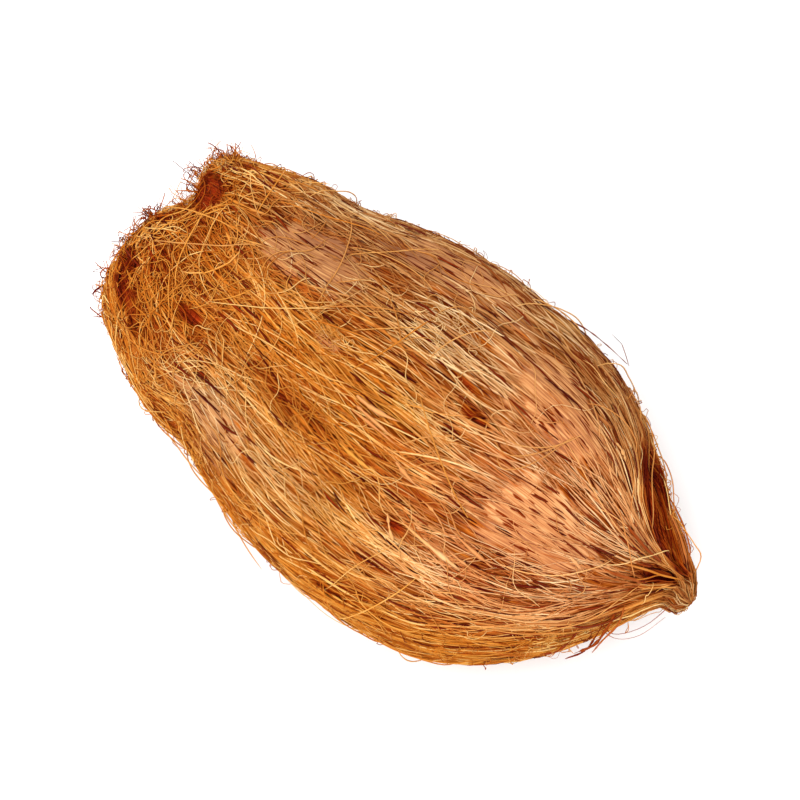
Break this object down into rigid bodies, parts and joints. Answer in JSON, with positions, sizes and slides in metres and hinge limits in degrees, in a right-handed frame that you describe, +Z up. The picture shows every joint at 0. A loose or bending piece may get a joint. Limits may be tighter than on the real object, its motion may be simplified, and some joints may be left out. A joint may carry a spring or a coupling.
{
  "type": "semi-husked coconut",
  "caption": "Dry semi-husked coconut lying on its side: matted brown coir fibres over an oval fruit, with a ragged cut stalk end and a gathered pointed tip",
  "frame": {"origin": "on the floor under the middle of the coconut's bounding box", "axes": "+X is the long axis, from the cut stalk end to the gathered tip; +Z is up as it lies; +Y completes the right-handed frame, towards the side with the cleft at the tip"},
  "size_m": [0.1792, 0.1024, 0.0947],
  "materials": {
    "husk_fibre": "dry matted coir fibre, golden to reddish brown, with no shine"
  },
  "bodies": {
    "root": {"husk": "husk_fibre"}
  },
  "joints": []
}
